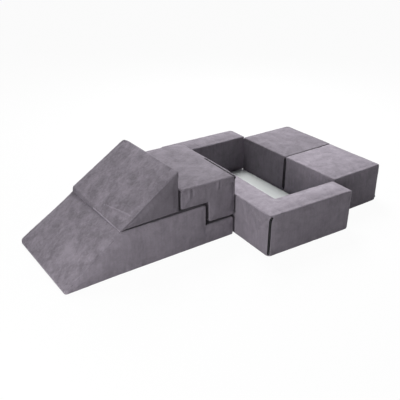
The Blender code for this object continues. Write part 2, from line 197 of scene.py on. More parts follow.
def seenDirectly(paint):
    path = paint.node("ShaderNodeLightPath")
    outputs = path.socket.node.outputs
    kinds = ("Camera", "Glossy", "Transmission")
    camera, glossy, through = (Wire(paint, outputs[f"Is {kind} Ray"]) for kind in kinds)
    return paint.node("ShaderNodeClamp", {}, {"Value": camera + glossy + through})


def addLight():
    world = scene.world or bpy.data.worlds.new("studio")
    scene.world = world
    paint = Paint(world)
    background = paint.tree.nodes["Background"]
    seen = seenDirectly(paint)
    white = (1, 1, 1, 1)
    paint.feed(background.inputs["Color"], paint.blend(seen, studio["fillColour"], white))
    paint.feed(background.inputs["Strength"], seen * (1 - studio["fill"]) + studio["fill"])
    for name, lamp in studio["lamps"].items():
        data = bpy.data.lights.new(name, "AREA")
        data.size = lamp["size"]
        data.energy = lamp["watts"]
        light = bpy.data.objects.new(name, data)
        scene.collection.objects.link(light)
        light.location = lamp["place"]
        aim = Vector(studio["aim"]) - Vector(lamp["place"])
        light.rotation_euler = aim.to_track_quat("-Z", "Y").to_euler()
    scene.view_settings.view_transform = "Standard"


def addFloor():
    paint = newPaint("paleFloor")
    paint.tree.nodes.remove(paint.surface)
    plain = paint.node("ShaderNodeBsdfDiffuse", {}, {"Color": studio["floorShade"]})
    lit = paint.node("ShaderNodeBsdfDiffuse", {}, {"Color": studio["floorLit"]})
    white = paint.node("ShaderNodeEmission", {}, {"Color": (1, 1, 1, 1), "Strength": 1.0})
    shown = paint.node("ShaderNodeMixShader", {}, {0: studio["floorSeen"], 1: lit, 2: white})
    surface = paint.node("ShaderNodeMixShader", {}, {0: seenDirectly(paint), 1: plain, 2: shown})
    output = paint.tree.nodes["Material Output"]
    paint.tree.links.new(surface.socket, output.inputs["Surface"])
    half = studio["floorSize"] / 2
    mesh = bpy.data.meshes.new("floor")
    corners = [(-half, -half, 0), (half, -half, 0), (half, half, 0), (-half, half, 0)]
    mesh.from_pydata(corners, [], [(0, 1, 2, 3)])
    mesh.materials.append(paint.owner)
    floor = bpy.data.objects.new("floor", mesh)
    scene.collection.objects.link(floor)
    floor.location.z = studio["floorLevel"]


# Finishes

velour = {
    "shade": (0.217, 0.195, 0.225, 1),
    "dark": 0.72,
    "light": 1.32,
    "blotch": 10.5, "blotchContrast": 2.0,  # blotches to the metre
    "streak": 38.0, "streakContrast": 1.5,
    "fuzz": 420.0, "fuzzContrast": 0.3,
    "hatch": 60.0, "hatchContrast": 0.5,  # upright strokes, on the upright faces
    "mottle": [(0.1, 0.42), (0.6, 1.0), (0.88, 1.0), (0.99, 0.72)],  # by how far the face looks up
    "upright": [(0.2, 1.0), (0.6, 0.0)],
    "top": [(0.88, 0.0), (0.97, 1.0)],
    "pressed": 0.9, "slotShadeDepth": 0.004, "slotShadeReach": 0.06, "slotShadeDark": 0.16,  # painted shade: the velour in the slots between two blocks is drawn darker, where shade falls
    "pile": (0.35, 0.0006), "brush": (0.25, 0.004),  # strength and depth
    "rough": 0.96, "smoother": 0.16,
    "sheen": 0.35, "sheenRough": 0.38, "sheenTint": (0.86, 0.82, 0.92, 1), "shine": 0.12,
}


def scaled(shade, factor):
    return tuple(min(1.0, part * factor) for part in shade[:3]) + (1,)


def velourPaint(block, part, otherSeed=0, paintedHighlight=1, topPaintedLight=1, sidePaintedLight=1):
    # painted light: the top faces and the upright sides can be drawn lighter or darker than the rest, as
    # light falls on them, and a seam or edge piece can be drawn lighter all over, as a painted highlight
    paint = newPaint(block["name"] + part)
    # each block's tone is partly its cover's own nap and partly painted light: blocks at the front are drawn
    # lighter and those at the back darker, as the light falls
    seed, tone = block["seed"] + otherSeed, block["tone"] * paintedHighlight
    shift = (seed * 3.1, seed * 1.7, seed * 2.3)
    spot = paint.where(shift=shift)
    brushed = paint.where(stretch=(1, 1.3, 1.1), turn=(0.3, 0.2, block["nap"]), shift=shift)
    blotch = paint.noise(spot, velour["blotch"], 3, 0.55, 0.6)
    streak = paint.noise(brushed, velour["streak"], 4, 0.6, 0.9)
    fuzz = paint.noise(spot, velour["fuzz"], 2, 0.6)
    hatch = paint.noise(paint.where(stretch=(1, 1, 0.12), shift=shift), velour["hatch"], 2, 0.6)
    rise = paint.node("ShaderNodeSeparateXYZ", {}, {0: paint.node("ShaderNodeTexCoord", out="Normal")}, out=2)
    mottle, upright, top = (
        paint.node("ShaderNodeValToRGB", {"stops": velour[key]}, {0: rise})
        for key in ("mottle", "upright", "top")
    )
    marks = (blotch - 0.5) * velour["blotchContrast"] + (streak - 0.5) * velour["streakContrast"]
    marks = marks * mottle + 0.5
    marks = marks + (hatch - 0.5) * upright * velour["hatchContrast"] + (fuzz - 0.5) * velour["fuzzContrast"]
    share = paint.node("ShaderNodeClamp", {}, {"Value": marks})
    dark, light = (scaled(velour["shade"], velour[key] * tone) for key in ("dark", "light"))
    colour = paint.blend(share, dark, light)
    # painted light and shade: a lit or shaded copy of the colour on the top faces and on the upright sides
    for faces, lightFactor in ((top, topPaintedLight), (upright, sidePaintedLight)):
        if lightFactor != 1:
            litColour = paint.blend(share, scaled(dark, lightFactor), scaled(light, lightFactor))
            colour = paint.blend(faces, colour, litColour)
    # painted shade: where a face stands back into a slot between two blocks, its colour is drawn darker, as
    # the shade there
    pressed = paint.node("ShaderNodeAttribute", {"attribute_name": "pressed"}, out="Fac")
    colour = paint.blend(pressed * velour["pressed"], colour, scaled(dark, velour["slotShadeDark"]))
    pile = paint.bump(fuzz, *velour["pile"])
    return setSurface(
        paint, base=colour, rough=velour["rough"] - share * velour["smoother"],
        normal=paint.bump(streak, *velour["brush"], pile),
        **{key: velour[key] for key in ("sheen", "sheenRough", "sheenTint", "shine")},
    )


finish = {
    "tape": {
        "pattern": ("ShaderNodeTexWave", {"bands_direction": "Z"}, {"Scale": 300, "Distortion": 0.6}),
        "dark": (0.003, 0.003, 0.004, 1), "light": (0.012, 0.012, 0.014, 1), "fleck": (900, 2),
        "rough": 0.78, "rougher": 0.12, "bump": (0.4, 0.0003), "even": {"shine": 0.2},
    },
    "teeth": {
        "pattern": ("ShaderNodeTexNoise", {}, {"Scale": 500, "Detail": 2}),
        "dark": (0.006, 0.006, 0.007, 1), "light": (0.02, 0.02, 0.022, 1),
        "rough": 0.36, "rougher": 0.2, "even": {"shine": 0.4},
    },
    "slider": {
        "pattern": ("ShaderNodeTexNoise", {}, {"Scale": 700, "Detail": 3}),
        "dark": (0.018, 0.018, 0.02, 1), "light": (0.055, 0.055, 0.06, 1),
        "rough": 0.32, "rougher": 0.22, "even": {"metal": 0.6},
    },
    "foam": {
        "pattern": ("ShaderNodeTexVoronoi", {}, {"Scale": 520}),
        "dark": (0.66, 0.6, 0.42, 1), "light": (0.86, 0.81, 0.62, 1),
        "rough": 0.95, "bump": (0.6, 0.0008), "even": {"shine": 0.1},
    },
}


def trimPaint(name, look):
    # tape, zip and foam: one pattern for shade, roughness and bump
    paint = newPaint(name)
    spot = paint.where()
    kind, settings, sockets = look["pattern"]
    pattern = paint.node(kind, settings, {"Vector": spot, **sockets})
    marks = paint.noise(spot, *look["fleck"]) if "fleck" in look else pattern
    rough = look["rough"] + pattern * look["rougher"] if "rougher" in look else look["rough"]
    surface = {"base": paint.blend(marks, look["dark"], look["light"]), "rough": rough, **look["even"]}
    if "bump" in look:
        surface["normal"] = paint.bump(pattern, *look["bump"])
    return setSurface(paint, **surface)


matFinish = {
    "dark": (0.66, 0.69, 0.68, 1), "light": (0.82, 0.85, 0.84, 1),
    "stretch": (4, 0.7, 1), "turn": (0, 0, 0.12), "soft": (7, 3, 0.5, 0.3), "softBump": (0.3, 0.004),
    "grain": (600, 2), "grainBump": (0.3, 0.0005), "grainShare": 0.2,
    "rough": 0.62, "rougher": 0.2, "sheen": 0.15, "shine": 0.3,
}


def matPaint(name):
    paint = newPaint(name)
    soft = paint.noise(paint.where(stretch=matFinish["stretch"], turn=matFinish["turn"]), *matFinish["soft"])
    grain = paint.noise(paint.where(), *matFinish["grain"])
    share = soft * (1 - matFinish["grainShare"]) + grain * matFinish["grainShare"]
    return setSurface(
        paint, base=paint.blend(share, matFinish["dark"], matFinish["light"]),
        rough=matFinish["rough"] + soft * matFinish["rougher"],
        normal=paint.bump(grain, *matFinish["grainBump"], paint.bump(soft, *matFinish["softBump"])),
        sheen=matFinish["sheen"], shine=matFinish["shine"],
    )


# Outlines: anticlockwise corners of (along, up, radius)

form = {
    "arcSteps": 8, "endSteps": 8, "leastRadius": 0.002, "weave": 0.011, "edge": 0.01, "zipEdge": 0.022,
    "crownPower": 0.55,
}


def sideNormal(start, end):
    run = (end - start).normalized()
    return Vector((run.y, -run.x))


def cornerFacts(corners):
    # for each corner: its point, radius, first and second side normal, mitre, and whether it is hollow
    facts = []
    for i, (x, y, radius) in enumerate(corners):
        point = Vector((x, y))
        first = sideNormal(Vector(corners[i - 1][:2]), point)
        second = sideNormal(point, Vector(corners[(i + 1) % len(corners)][:2]))
        mitre = (first + second) / (1 + first.dot(second))
        hollow = first.x * second.y - first.y * second.x < 0
        facts.append((point, radius, first, second, mitre, hollow))
    return facts


def outlineRing(corners, inset):
    # points of the outline moved in by the inset, each with its way out
    ring = []
    for point, radius, first, second, mitre, hollow in cornerFacts(corners):
        moved = point - mitre * inset
        if hollow:
            ring.append((moved, mitre.normalized()))
            continue
        left = max(radius - inset, form["leastRadius"])
        centre = moved - mitre * left
        turn = first.angle(second)
        for k in range(form["arcSteps"] + 1):
            way = Matrix.Rotation(turn * k / form["arcSteps"], 2) @ first
            ring.append((centre + way * left, way))
    return ring


def inBlock(block, flat, level):
    # a point of the outline at a level, in the block's own axes
    if block["across"]:
        return Vector((flat.x, level, flat.y))
    return Vector((flat.x, flat.y, level))


def joinRows(skin, rows):
    # faces from each row of points to the next
    for row, after in zip(rows, rows[1:]):
        for i in range(len(row)):
            skin.faces.new((row[i - 1], row[i], after[i], after[i - 1]))


def closeEnds(skin, rows):
    skin.faces.new(rows[0])
    skin.faces.new(rows[-1])


def meshOf(skin, name):
    mesh = bpy.data.meshes.new(name)
    skin.to_mesh(mesh)
    skin.free()
    return mesh


def blockForm(block, inset):
    # closed and smooth-edged, with a flat face over each end
    skin = bmesh.new()
    turns = [math.pi / 2 * k / form["endSteps"] for k in range(form["endSteps"] + 1)]
    low, high = (
        [(inset + radius * (1 - math.sin(a)), inset + radius * (1 - math.cos(a))) for a in turns]
        for radius in block["endRadii"]
    )
    rows = []
    for draw, level in low + [(draw, block["deep"] - rise) for draw, rise in reversed(high)]:
        ring = outlineRing(block["corners"], draw)
        rows.append([skin.verts.new(inBlock(block, point, level)) for point, way in ring])
    joinRows(skin, rows)
    closeEnds(skin, rows)
    bmesh.ops.recalc_face_normals(skin, faces=skin.faces)
    return meshOf(skin, block["name"])


def newPiece(name, mesh, place, paint, body):
    mesh.name = name
    piece = bpy.data.objects.new(name, mesh)
    scene.collection.objects.link(piece)
    piece.matrix_world = place
    mesh.materials.clear()
    mesh.materials.append(paint)
    mesh.shade_smooth()
    if body:
        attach(piece, body)
    return piece


def blockPiece(block, ending, mesh, paint, replaced=None):
    # rides with the block
    piece = newPiece(block["name"] + ending, mesh, block["place"], paint, block["name"])
    if replaced:
        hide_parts(block["name"] + replaced)
    return piece


def placeOf(block):
    # the block's own axes in the room, from its foam in the frame
    points = np.array([v.co for v in nodes[block["name"] + "_foam"].data.vertices])
    turn = Matrix.Rotation(math.radians(block["turn"]), 4, "Z")
    own = points @ np.array(turn.to_3x3())
    low, high = own.min(0) - foam["gap"], own.max(0) + foam["gap"]
    corner = Vector((high[0] if block["across"] else low[0], low[1], low[2]))
    return Matrix.Translation(turn @ corner) @ turn


foam = {
    "gap": 0.0023,  # the cover's thickness and its gap to the foam
    "inset": 0.009, "weave": 0.014,  # the core that is modelled stands back from the cover's swells and tucks
}


# Which side or end of the block a point belongs to, and how far it lies from the seams

Spots = namedtuple("Spots", "flat level apart share length")


def measures(block, points):
    # of all points: place in the outline, level, distance from and share along each side, and sides' lengths
    if block["across"]:
        flat, level = points[:, [0, 2]], points[:, 1]
    else:
        flat, level = points[:, [0, 1]], points[:, 2]
    corners = np.array([corner[:2] for corner in block["corners"]])
    following = np.roll(corners, -1, axis=0)
    run = following - corners
    length = np.linalg.norm(run, axis=1)
    offset = flat[:, None, :] - corners[None, :, :]
    share = np.clip((offset * run).sum(2) / length ** 2, 0, 1)
    nearest = corners + share[:, :, None] * run
    apart = np.linalg.norm(flat[:, None, :] - nearest, axis=2)
    return Spots(flat, level, apart, share, length)


def facesOf(block, spots):
    # the number of the side that each point lies on, or -1 and -2 on the low and the high end
    ends = np.stack([spots.level, block["deep"] - spots.level], 1)
    onEnd = ends.min(1) < spots.apart.min(1)
    return np.where(onEnd, -1 - ends.argmin(1), spots.apart.argmin(1))


def normalsOf(block, faces):
    facts = cornerFacts(block["corners"])
    sides = [inBlock(block, fact[3], 0) for fact in facts]
    end = inBlock(block, Vector((0, 0)), 1)
    table = np.array([*sides, end, -end])  # -1 is the low end and -2 the high one
    return table[np.where(faces == -1, len(sides) + 1, np.where(faces == -2, len(sides), faces))]


def fade(distance, reach):
    # 1 on the spot and 0 at the reach
    return np.clip(1 - distance / reach, 0, 1)


def eased(share):
    return share * share * (3 - 2 * share)


def bell(distance, width):
    return np.exp(-((distance / width) ** 2))


def crownLift(block, spots, faces):
    lift = np.zeros(len(faces))
    along = np.clip(spots.level / block["deep"], 0, 1)
    for side, crown in block["crowns"].items():
        chosen = faces == side
        if side >= 0:
            over, power = spots.share[:, side], form["crownPower"]
            rise = (4 * over * (1 - over)) ** power * (4 * along * (1 - along)) ** power
        else:
            rise = eased(np.clip(spots.apart.min(1) / block["reach"], 0, 1))
        lift[chosen] = (crown * rise)[chosen]
    return lift


def seamDistance(block, spots):
    # from the nearest seam, from the rim of either end, and from the edges between the sides
    rim = np.hypot(spots.apart.min(1), np.minimum(spots.level, block["deep"] - spots.level))
    corners = np.array([corner[:2] for corner in block["corners"]])
    edges = np.linalg.norm(spots.flat[:, None, :] - corners[None], axis=2).min(1)
    return np.minimum(rim, edges), rim, edges


def perimeterOf(spots):
    # how far round the outline each point lies
    side = spots.apart.argmin(1)
    start = np.concatenate([[0], np.cumsum(spots.length)[:-1]])
    return start[side] + spots.share[np.arange(len(side)), side] * spots.length[side]


# Cloth: each cover is let out a little, blown up round its foam and held at its seams and where it rests

cloth = {
    "frames": 20, "heldNear": 0.01, "freeFrom": 0.05, "leastHold": 0.001, "travel": 0.005,
    "settings": {
        "quality": 4, "mass": 0.28,
        "tension_stiffness": 14, "compression_stiffness": 14, "shear_stiffness": 7, "bending_stiffness": 0.9,
        "use_pressure": True, "uniform_pressure_force": 4.0, "shrink_min": -0.006,
    },
}


def puffed(piece, hold):
    # where the cloth's points end up, none of them further than the travel
    mesh = piece.data
    group = piece.vertex_groups.new(name="held")
    for i, weight in enumerate(hold):
        if weight > cloth["leastHold"]:
            group.add([i], float(weight), "REPLACE")
    modifier = piece.modifiers.new("cloth", "CLOTH")
    for key, value in cloth["settings"].items():
        setattr(modifier.settings, key, value)
    modifier.settings.effector_weights.gravity = 0
    modifier.settings.vertex_group_mass = "held"
    modifier.collision_settings.use_collision = False
    modifier.point_cache.frame_start = 1
    modifier.point_cache.frame_end = cloth["frames"]
    for tick in range(1, cloth["frames"] + 1):
        scene.frame_set(tick)
    blown = piece.evaluated_get(bpy.context.evaluated_depsgraph_get())
    before = np.array([v.co for v in mesh.vertices])
    moved = np.array([v.co for v in blown.data.vertices]) - before
    size = np.linalg.norm(moved, axis=1)
    moved *= (cloth["travel"] * np.tanh(size / cloth["travel"]) / np.maximum(size, 1e-9))[:, None]
    piece.modifiers.remove(modifier)
    piece.vertex_groups.remove(group)
    scene.frame_set(1)
    return before + moved


def noiseAt(points, scale, seed):
    offset = Vector((seed * 7.3, seed * 3.9, seed * 5.1))
    return np.array([noise.noise(Vector(p) * scale + offset) for p in points])


def setPoints(mesh, points):
    mesh.vertices.foreach_set("co", np.asarray(points, np.float32).ravel())
    mesh.update()


softness = {
    "swell": 0.002, "swellScale": 6.5, "swellFrom": 0.04,
    "pucker": 0.0016, "puckerScale": 34.0, "puckerAt": 0.014, "puckerReach": 0.03, "puckerRun": 0.05,
    "pressedIn": 0.0002,  # a face that rests on something stays this much inside
    "foldEnds": 0.35,  # a fold's height at its ends, as a share of its middle's
}


def wrinkles(block, points, spots, faces):
    # how far out broad swells, small puckers square to the seams, and folds bring each point
    near, rim, edges = seamDistance(block, spots)
    swell = noiseAt(points, softness["swellScale"], block["seed"]) * softness["swell"]
    swell *= np.clip(near / softness["swellFrom"], 0, 1)
    around, level = perimeterOf(spots), spots.level
    run, none = softness["puckerRun"], around * 0
    pucker = 0
    for distance, wavy, seed in (
        (rim, [around, level * run, none], block["seed"] + 1),
        (edges, [level, none, around * run], block["seed"] + 2),
    ):
        wave = noiseAt(np.stack(wavy, 1), softness["puckerScale"], seed)
        pucker = pucker + wave * bell(distance - softness["puckerAt"], softness["puckerReach"])
    lift = swell + pucker * softness["pucker"]
    held = np.isin(faces, block["held"])
    lift = np.where(held, np.minimum(lift, 0) - softness["pressedIn"], lift)
    for face, start, end, width, height in block.get("folds", ()):
        lift += foldLift(points, faces == face, start, end, width, height)
    return lift


def alongLine(points, start, end):
    # how far each point lies from a stretch of line, and its share of the way along
    start, end = Vector(start), Vector(end)
    run = np.array(end - start)
    share = np.clip(((points - np.array(start)) @ run) / (run @ run), 0, 1)
    away = np.linalg.norm(points - (np.array(start) + share[:, None] * run), axis=1)
    return away, share


def foldLift(points, chosen, start, end, width, height):
    # highest in the middle of its line
    away, share = alongLine(points, start, end)
    ends = softness["foldEnds"]
    strength = ends + (1 - ends) * np.sin(np.pi * share) ** 0.5
    return np.where(chosen, height * bell(away, width) * strength, 0)


def deepest(moves, more):
    # each point keeps the longer of its two moves
    bigger = np.linalg.norm(more, axis=1) > np.linalg.norm(moves, axis=1)
    return np.where(bigger[:, None], more, moves)


def zipValley(block, points):
    # the cover dips under its zip, so that the tape lies between the turned edges
    valley = np.zeros((len(points), 3))
    for start, end in zip(block["zipRun"], block["zipRun"][1:]):
        away, share = alongLine(points, start[0], end[0])
        flat, slope = zipSizes["valleyFlat"], zipSizes["valleySlope"]
        deep = zipSizes["valley"] * fade(away - flat, slope) ** 2
        valley = deepest(valley, -np.array((start[1] + end[1]).normalized()) * deep[:, None])
    return valley


def tuckedIn(block, points):
    # where two blocks meet, their covers' edges sink back between them: (start, end, way, reach, depth)
    sunk = np.zeros((len(points), 3))
    for start, end, way, reach, depth in block.get("tucks", ()):
        away, share = alongLine(points, start, end)
        move = (depth * fade(away, reach) ** 2)[:, None]
        sunk = deepest(sunk, np.array(Vector(way).normalized()) * move)
    return sunk


slotSizes = {"inward": 0.05, "deep": 0.13, "beyond": 0.012}  # how far a slot reaches


def backAxis(block):
    # which of a point's coordinates grows away from the front
    return 1 if block["across"] else 0


def recessed(block, points):
    # beside another block a hidden face stands back, so that a slot shows: (start, end, way, depth)
    moved = np.zeros((len(points), 3))
    for start, end, way, depth in block.get("slots", ()):
        away, share = alongLine(points, start, end)
        rel = points - (np.array(start) + share[:, None] * (np.array(end) - np.array(start)))
        way = np.array(way, float)
        line = Vector(end) - Vector(start)
        beyond = np.abs(rel @ (np.array(line) / line.length))
        inward = np.clip(rel @ way, 0, None)
        deep = np.clip(rel[:, backAxis(block)], 0, None)
        amount = depth * fade(inward, slotSizes["inward"])
        inside = np.clip(1 - (deep / slotSizes["deep"]) ** 2, 0, 1)
        amount = amount * inside * fade(beyond, slotSizes["beyond"])
        moved += way * amount[:, None]
    return moved


def warped(block, points):
    # the block's own bend: a flared toe or a tip that is thick at one corner only
    return block["warp"](points) if "warp" in block else points


def warpedPoint(block, point):
    spot = np.array([point], float)
    spot = spot + recessed(block, spot)
    return Vector(warped(block, roundedOff(block, spot))[0])


def drawnOut(block, points):
    # the weave is too coarse for a thin tip, so its last points are drawn out to the outline's own end
    if "tip" in block:
        start, end = block["tip"]
        least = points[:, 0].min()
        points[:, 0] -= np.clip((start - points[:, 0]) / (start - least), 0, 1) * (least - end)
    return points


def snapped(tree, points):
    return np.array([tree.find_nearest(Vector(point))[0] for point in points])


def roundedOff(block, points):
    # the corners of a thin edge, rounded as seen square to the slope:
    # (along, way in, cosine, front and back radius)
    for along, way, cosine, radii in block.get("rounded", ()):
        for side, radius in enumerate(radii):
            level = block["deep"] - points[:, 1] if side else points[:, 1]
            run = (points[:, 0] - along) * way / cosine
            inCorner = (run < radius) & (level < radius)
            far = np.hypot(radius - run, radius - level)
            pull = np.where(inCorner & (far > radius), radius / np.maximum(far, 1e-9), 1)
            newRun = radius - (radius - run) * pull
            newLevel = radius - (radius - level) * pull
            moved = inCorner & (pull < 1)
            points[:, 0] = np.where(moved, along + way * newRun * cosine, points[:, 0])
            points[:, 1] = np.where(moved, block["deep"] - newLevel if side else newLevel, points[:, 1])
    return points


def evaluatedMesh(piece):
    return bpy.data.meshes.new_from_object(piece.evaluated_get(bpy.context.evaluated_depsgraph_get()))


def remeshed(block, inset, weave):
    # an even mesh of the block, and a tree of its exact form to lay points on
    rough = bpy.data.objects.new("rough", blockForm(block, inset))
    scene.collection.objects.link(rough)
    corners = [v.co for v in rough.data.vertices]
    tree = BVHTree.FromPolygons(corners, [p.vertices for p in rough.data.polygons])
    remesh = rough.modifiers.new("weave", "REMESH")
    remesh.mode = "VOXEL"
    remesh.voxel_size = weave
    mesh = evaluatedMesh(rough)
    bpy.data.objects.remove(rough)
    return mesh, tree


def finerMesh(piece):
    finer = piece.modifiers.new("finer", "SUBSURF")
    finer.levels = finer.render_levels = 1
    mesh = evaluatedMesh(piece)
    piece.modifiers.remove(finer)
    return mesh


def pointsOf(mesh):
    points = np.empty(3 * len(mesh.vertices), np.float32)
    mesh.vertices.foreach_get("co", points)
    return points.reshape(-1, 3).astype(float)


def blownPoints(block, cover, rest):
    # where the cloth takes the cover's points, once they are as fine as the finished cover's
    spots = measures(block, rest)
    near = seamDistance(block, spots)[0]
    hold = fade(near - cloth["heldNear"], cloth["freeFrom"] - cloth["heldNear"])
    hold = np.where(np.isin(facesOf(block, spots), block["held"]), 1.0, hold)
    setPoints(cover.data, puffed(cover, hold))
    blown = pointsOf(finerMesh(cover))
    setPoints(cover.data, rest)
    return blown


def makeCover(block):
    block["place"] = placeOf(block)
    name = block["name"]
    mesh, tree = remeshed(block, 0, form["weave"])
    # the painted light on each block's top faces and upright sides
    facingLight = {key: block[key] for key in ("topPaintedLight", "sidePaintedLight") if key in block}
    paint = velourPaint(block, "Velour", **facingLight)
    cover = newPiece(name + "_velour_cover", mesh, block["place"], paint, None)
    rest = snapped(tree, drawnOut(block, pointsOf(mesh)))
    setPoints(mesh, rest)
    blown = blownPoints(block, cover, rest)
    smooth = finerMesh(cover)
    even = pointsOf(smooth)
    puff = 0 if blown is None else blown - even
    points = snapped(tree, even)
    spots = measures(block, points)
    faces = facesOf(block, spots)
    normals = normalsOf(block, faces)
    lift = normals * crownLift(block, spots, faces)[:, None]
    lift = lift + normals * wrinkles(block, points, spots, faces)[:, None] + puff
    recess = recessed(block, points)
    shaped = points + lift + deepest(zipValley(block, points), tuckedIn(block, points)) + recess
    shaped = warped(block, roundedOff(block, shaped))
    if "restsOn" in block:
        shaped[:, 2] = np.maximum(shaped[:, 2], block["restsOn"](shaped[:, 0]))
    if "foldsOn" in block:
        shaped[:, 2] = np.minimum(shaped[:, 2], block["foldsOn"](shaped[:, 1]))
    cover.data = smooth
    smooth.name = cover.name
    setPoints(smooth, shaped)
    # painted shade: how far each point stands back into a slot, kept as a mask that darkens the velour's
    # colour
    pressed = np.clip(-(recess * normals).sum(axis=1) / velour["slotShadeDepth"], 0, 1)
    pressed = pressed * fade(points[:, backAxis(block)], velour["slotShadeReach"])
    smooth.attributes.new("pressed", "FLOAT", "POINT").data.foreach_set("value", pressed)
    smooth.shade_smooth()
    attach(cover, name)
    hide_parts(name + "_cover")
    print("cover:", name, len(smooth.vertices), "points")
    return cover


# Seams: two rolled edges with the stitched line between them, laid on the cover

seam = {
    "step": 0.009, "paintedHighlight": 1.08, "margin": 0.4,
    "profile": [
        (-3.4, -1.4), (-3.0, 0.0), (-2.2, 0.55), (-1.3, 0.75), (-0.55, 0.4), (0.0, -0.5),
        (0.55, 0.4), (1.3, 0.75), (2.2, 0.55), (3.0, 0.0), (3.4, -1.4),
    ],  # millimetres across and out
    "edge": [(-4.2, -1.5), (-3.0, 1.0), (-1.4, 2.3), (1.4, 2.3), (3.0, 1.0), (4.2, -1.5)],
    "roll": [(-8.0, -1.6), (-5.5, 0.3), (-2.5, 1.3), (0.0, 1.6), (2.5, 1.3), (5.5, 0.3), (8.0, -1.6)],
}


def swept(rings, closed):
    # a skin through rings of points, closed into a loop or over its two ends
    skin = bmesh.new()
    rows = [[skin.verts.new(point) for point in ring] for ring in rings]
    joinRows(skin, rows + rows[:1] if closed else rows)
    if not closed:
        closeEnds(skin, rows)
    bmesh.ops.recalc_face_normals(skin, faces=skin.faces)
    return skin


def joinedMesh(name, skins):
    whole = bmesh.new()
    for skin in skins:
        part = meshOf(skin, "part")
        whole.from_mesh(part)
        bpy.data.meshes.remove(part)
    return meshOf(whole, name)


def stepsAlong(start, end, step):
    count = max(2, round((end - start).length / step))
    return [start.lerp(end, k / count) for k in range(count + 1)]


def framesAlong(path, closed=False):
    # (point, out, along) for a list of (point, out)
    frames = []
    for i, (point, out) in enumerate(path):
        before = path[i - 1][0] if closed or i else point
        after = path[(i + 1) % len(path)][0] if closed or i + 1 < len(path) else point
        along = (after - before).normalized()
        out = (out - along * out.dot(along)).normalized()
        frames.append((point, out, along))
    return frames


def ribbon(frames, profile, closed=False):
    rings = []
    for point, out, along in frames:
        across = out.cross(along)
        rings.append([point + across * a / 1000 + out * b / 1000 for a, b in profile])
    return swept(rings, closed)


probe = {"from": 0.03, "reach": 0.08}


def onCover(tree, point, out):
    # the cover's own point under this one, found from a little further out
    hit = tree.ray_cast(point + out * probe["from"], -out, probe["reach"])[0]
    return hit if hit else point


def laidOn(tree, places, out):
    return [(onCover(tree, place, out), out) for place in places]


def rimPath(block, tree, end):
    # round one end of the block, over its rounded rim
    low, high = block["endRadii"]
    level, radius, lean = (0, low, -1) if end == 0 else (block["deep"], high, 1)
    ring = outlineRing(block["corners"], 0)
    path = []
    for i, (point, way) in enumerate(ring):
        following, nextWay = ring[(i + 1) % len(ring)]
        straight = (following - point).length > 3 * seam["step"]
        places = stepsAlong(point, following, seam["step"])[:-1] if straight else [point]
        for k, place in enumerate(places):
            share = k / len(places)
            side = way if k == 0 else way.lerp(nextWay, share).normalized()
            out = inBlock(block, side, lean).normalized()
            spot = warpedPoint(block, inBlock(block, place, level))
            path.append((onCover(tree, spot, out), out))
    return path


def edgePath(block, tree, corner, margins):
    point, radius, first, second, mitre, hollow = cornerFacts(block["corners"])[corner]
    out = inBlock(block, mitre.normalized(), 0)
    start = inBlock(block, point, margins[0])
    end = inBlock(block, point, block["deep"] - margins[1])
    places = [warpedPoint(block, place) for place in stepsAlong(start, end, seam["step"])]
    return laidOn(tree, places, out)


def addSeams(block, tree):
    skins = []
    for end in (0, 1):
        skins.append(ribbon(framesAlong(rimPath(block, tree, end), True), seam["profile"], True))
    for corner in block["seamCorners"]:
        path = edgePath(block, tree, corner, [radius * seam["margin"] for radius in block["endRadii"]])
        skins.append(ribbon(framesAlong(path), seam["profile"]))
    mesh = joinedMesh("seams", skins)
    points = pointsOf(mesh)
    points[:, 2] = np.maximum(points[:, 2], 0)
    setPoints(mesh, points)
    # painted highlight: the seams' velour is drawn lighter than the cover's, as light catching their ridges
    paint = velourPaint(block, "SeamVelour", 5, seam["paintedHighlight"])
    blockPiece(block, "_seams", mesh, paint)
    if "welts" in block:
        addWelts(block, tree)


def addWelts(block, tree):
    # folded edges that stand up and catch the light; their velour is drawn lighter, a painted highlight
    for kind, paintedHighlight, start, end, out in block["welts"]:
        places = stepsAlong(Vector(start), Vector(end), seam["step"])
        path = laidOn(tree, places, Vector(out).normalized())
        mesh = joinedMesh("welt", [ribbon(framesAlong(path), seam[kind])])
        paint = velourPaint(block, "Welt" + kind, 0, paintedHighlight)
        blockPiece(block, "_welt_" + kind, mesh, paint)


# Zips

zipSizes = {
    "step": 0.008, "toothPitch": 0.0016, "valley": 0.0032, "valleyFlat": 0.007, "valleySlope": 0.01,
    "lipHighlight": 1.1,
    # the rest is in millimetres
    "tapeHalf": 6.6, "tapeTop": 0.5, "tapeUnder": -0.9,
    "lipAt": 6.9, "lipRadius": 1.3, "lipRise": 0.6, "lipSides": 10,
    "toothReach": 2.9, "toothMeet": 0.35, "toothLow": 0.5, "toothTop": 2.1, "toothHalf": 0.42,
    "toothCrown": 0.4, "toothRound": 0.35, "toothTips": [(0, 0.3), (0.35, 0.0), (-0.3, 0.0), (0, 0.25)],
}


def zipFrames(block, tree):
    # the zip's run in short steps, laid on the cover
    path = []
    for (point, out), (nextPoint, nextOut) in zip(block["zipRun"], block["zipRun"][1:]):
        places = stepsAlong(point, nextPoint, zipSizes["step"])
        for k, place in enumerate(places[:-1]):
            path.append((place, out.lerp(nextOut, k / (len(places) - 1)).normalized()))
    path.append(block["zipRun"][-1])
    return framesAlong([(onCover(tree, point, out), out) for point, out in path])


def wrapped(frames, tree, profile):
    # a ribbon whose profile follows the cover under it
    rings = []
    for point, out, along in frames:
        across = out.cross(along)
        rings.append([onCover(tree, point + across * a / 1000, out) + out * b / 1000 for a, b in profile])
    return swept(rings, False)


